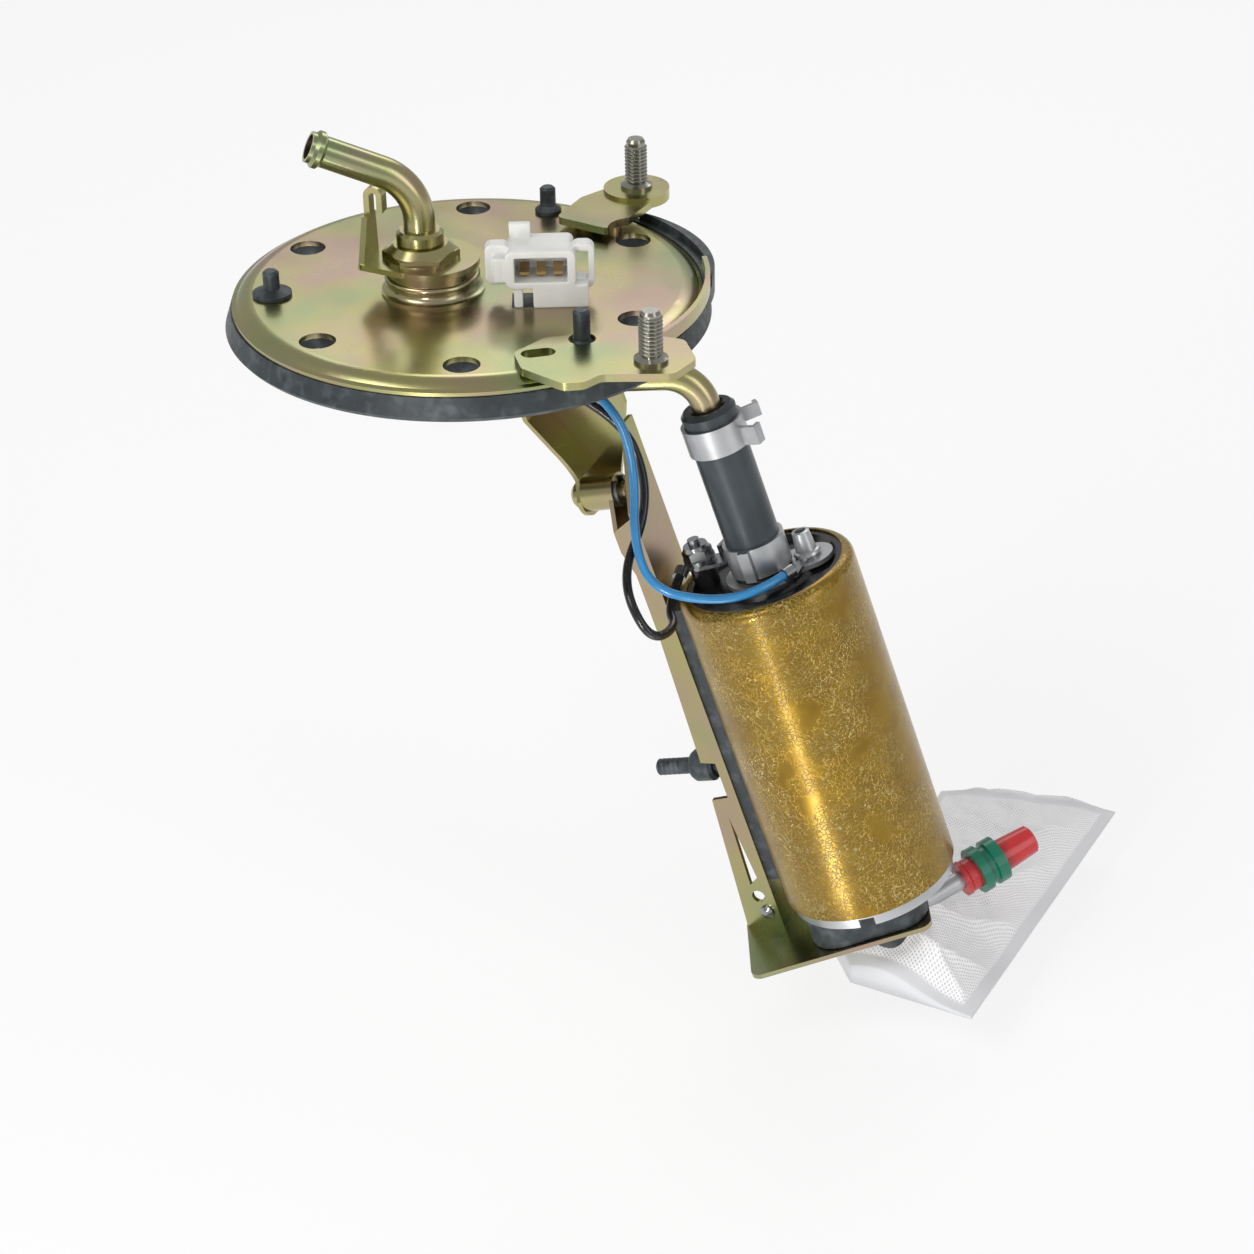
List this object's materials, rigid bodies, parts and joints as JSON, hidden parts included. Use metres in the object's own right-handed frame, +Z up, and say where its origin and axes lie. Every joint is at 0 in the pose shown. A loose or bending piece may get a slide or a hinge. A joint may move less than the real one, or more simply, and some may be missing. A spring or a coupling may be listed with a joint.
{
  "type": "fuel pump module",
  "caption": "In-tank electric fuel pump on a hinged arm below a round bolted flange with outlet pipe, connector, studs, hose, strainer sock and capped side port.",
  "frame": {"origin": "centre of the round flange, on its top face where the bolts seat", "axes": "+Z up out of the tank, square to the flange; +X towards the side that the pump hangs on; +Y towards the far stud"},
  "size_m": [0.241, 0.1269, 0.2379],
  "materials": {
    "zinc_steel": "satin",
    "bright_steel": "satin",
    "spring_steel": "satin",
    "dark_rubber": "matte",
    "white_plastic": "satin",
    "black_plastic": "gloss",
    "brass": "satin",
    "bronze": "matte",
    "copper": "satin",
    "aluminium": "satin",
    "iron": "matte",
    "carbon": "matte",
    "gold_can": "gloss",
    "white_mesh": "matte",
    "red_rubber": "satin",
    "green_plastic": "satin",
    "blue_insulation": "gloss",
    "black_insulation": "gloss"
  },
  "bodies": {
    "flange": {"flange_plate": "zinc_steel", "tank_gasket": "dark_rubber", "pull_nipples": "dark_rubber", "near_stud_bracket": "zinc_steel", "far_stud_bracket": "zinc_steel", "bracket_studs": "bright_steel", "pipe_cup": "zinc_steel", "hose_hook_plate": "zinc_steel", "pipe_nut": "zinc_steel", "pipe_collar": "bright_steel", "outlet_pipe": "zinc_steel", "feed_pipe": "zinc_steel", "connector_housing": "white_plastic", "connector_terminals": "brass", "wire_grommet": "dark_rubber", "upper_bracket": "zinc_steel", "pivot_pin": "bright_steel", "pivot_clip": "spring_steel", "upper_clamp": "bright_steel", "blue_wire": "blue_insulation", "black_wire": "black_insulation"},
    "arm": {"pivot_sleeve": "bright_steel", "arm_channel": "zinc_steel", "foot_rivet": "bright_steel", "pump_pad": "dark_rubber", "foot_cushion": "dark_rubber", "pump_can": "gold_can", "top_cover": "black_plastic", "check_spring": "spring_steel", "valve_retainer": "brass", "inlet_housing": "aluminium", "lower_bearing": "bronze", "bottom_ring": "bright_steel", "magnets": "iron", "brush_holder": "black_plastic", "upper_bearing": "bronze", "brushes": "carbon", "brush_springs": "spring_steel", "retaining_plate": "bright_steel", "terminal_tab": "bright_steel", "left_lug": "bright_steel", "right_lug": "bright_steel", "terminal_washer": "bright_steel", "terminal_nut": "bright_steel", "terminal_screw": "bright_steel", "terminal_rivet": "bright_steel", "hose": "dark_rubber", "lower_clamp": "bright_steel", "strainer_neck": "dark_rubber", "strainer_sock": "white_mesh", "side_tube": "bright_steel"},
    "rotor": {"armature": "iron", "rotor_shaft": "spring_steel", "commutator": "copper", "impeller": "black_plastic"},
    "valve": {"check_valve": "brass"},
    "side_cap": {"port_cap": "red_rubber", "cap_ring": "green_plastic"}
  },
  "joints": [
    {"name": "arm_pivot", "type": "hinge", "parent": "flange", "child": "arm", "pos_m": [0.03195, -0.00958, -0.05623], "axis": [0.8574, -0.4174, 0.301], "range_deg": [-5, 5], "stiffness_Nm_per_rad": 12, "deforming": ["hose", "blue_wire", "black_wire"]},
    {"name": "rotor_spin", "type": "hinge", "parent": "arm", "child": "rotor", "pos_m": [0.089, -0.03149, -0.11757], "axis": [-0.3, 0.0699, 0.9514], "continuous": true},
    {"name": "valve_lift", "type": "slide", "parent": "arm", "child": "valve", "axis": [-0.3, 0.0699, 0.9514], "range_m": [0, 0.0015], "stiffness_N_per_m": 200, "springref_m": -0.003, "deforming": ["check_spring"]},
    {"name": "cap_pull", "type": "slide", "parent": "arm", "child": "side_cap", "axis": [0.864, 0.4214, 0.2756], "range_m": [0, 0.02]}
  ]
}
